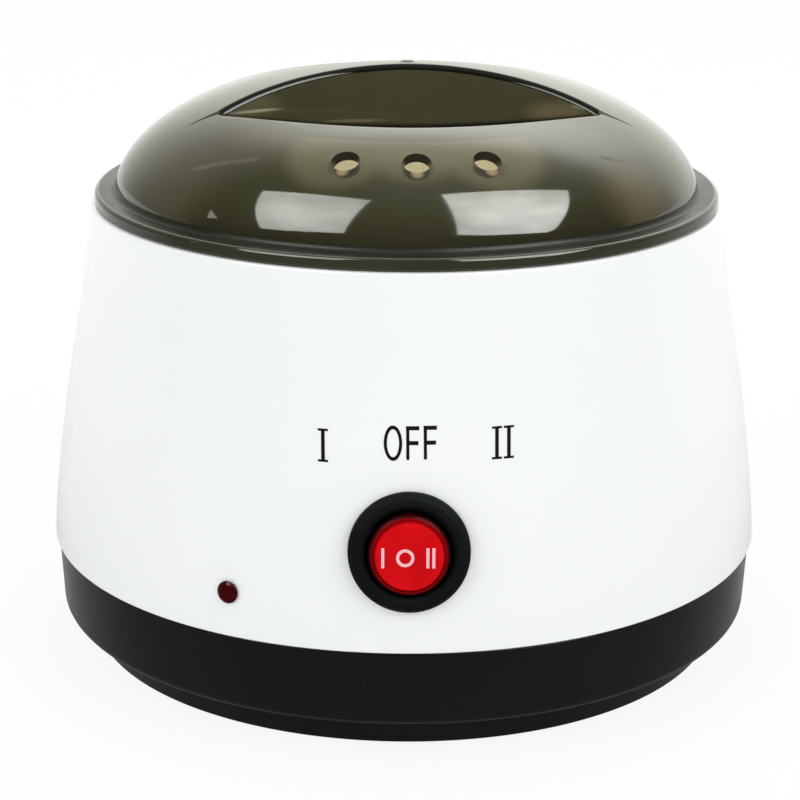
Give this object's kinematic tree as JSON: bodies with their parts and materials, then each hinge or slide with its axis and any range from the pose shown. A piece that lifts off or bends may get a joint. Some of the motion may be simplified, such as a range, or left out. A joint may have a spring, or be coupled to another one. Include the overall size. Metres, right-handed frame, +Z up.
{
  "type": "wax warmer",
  "caption": "Round table-top wax warmer: white cone housing on a black base, heated well, lift-out pot with bail, smoked lid with finger scoops, round rocker switch.",
  "frame": {"origin": "middle of the surface that the rubber feet stand on, under the middle of the bounding box", "axes": "+Z up along the pot's axis, -Y towards the front with the switch, +X to the right seen from the front"},
  "size_m": [0.15, 0.1551, 0.1221],
  "materials": {
    "white_shell": "smooth, glossy white moulding",
    "black_plastic": "smooth, satin to glossy black moulding",
    "smoked_plastic": "glossy smoked olive-brown clear plastic",
    "rubber": "matt black rubber",
    "aluminium": "spun and anodised, satin",
    "steel": "zinc plated",
    "brass": "stamped and plated",
    "mica": "mica sheet with a woven cover, matt",
    "nylon": "natural moulding, matt",
    "red_plastic": "glossy translucent red",
    "lamp_red": "glossy dark red lens",
    "brown_wire": "insulated wire, satin",
    "red_wire": "insulated wire, satin",
    "blue_wire": "insulated wire, satin"
  },
  "bodies": {
    "housing": {"upper_housing": "white_shell", "base_shell": "black_plastic", "switch_body": "black_plastic", "lamp_sleeve": "black_plastic", "cable_gland": "black_plastic", "rubber_foot_1": "rubber", "rubber_foot_2": "rubber", "rubber_foot_3": "rubber", "rubber_foot_4": "rubber", "heating_well": "aluminium", "thermostat": "aluminium", "base_screw_1": "steel", "base_screw_2": "steel", "base_screw_3": "steel", "base_screw_4": "steel", "heater_clamp": "steel", "clamp_bolt": "steel", "well_strap": "steel", "well_nut": "steel", "strap_screw_1": "steel", "strap_screw_2": "steel", "thermostat_bracket": "steel", "thermostat_nut_1": "steel", "thermostat_nut_2": "steel", "fuse_nut": "steel", "fuse_clip": "steel", "block_screw": "steel", "switch_tab_1": "brass", "switch_tab_2": "brass", "switch_tab_3": "brass", "heater_band": "mica", "terminal_block": "nylon", "thermal_fuse": "nylon", "lamp_lens": "lamp_red", "wire_live": "brown_wire", "wire_low": "red_wire", "wire_high": "red_wire", "wire_common": "blue_wire", "wire_fuse": "blue_wire", "wire_neutral": "blue_wire", "wire_lamp": "blue_wire"},
    "pot": {"inner_pot": "aluminium"},
    "bail": {"bail_handle": "steel"},
    "lid_shell": {"lid": "smoked_plastic"},
    "rocker_button": {"rocker": "red_plastic"}
  },
  "joints": [
    {"name": "lid_lift", "type": "slide", "parent": "housing", "child": "lid_shell", "axis": [0, 0, 1], "range_m": [0, 0.18]},
    {"name": "pot_lift", "type": "slide", "parent": "housing", "child": "pot", "axis": [0, 0, 1], "range_m": [0, 0.09]},
    {"name": "bail_swing", "type": "hinge", "parent": "pot", "child": "bail", "pos_m": [0, 0, 0.0987], "axis": [1, 0, 0], "range_deg": [0, 90]},
    {"name": "rocker_tilt", "type": "hinge", "parent": "housing", "child": "rocker_button", "pos_m": [0, -0.07175, 0.04254], "axis": [0, 0.1288, 0.9917], "range_deg": [-8, 8]}
  ],
  "couplings": [
    {"joint": "pot_lift", "follows": "lid_lift", "ratio": 0.5},
    {"joint": "bail_swing", "follows": "lid_lift", "rad_per_m": 8.72}
  ]
}
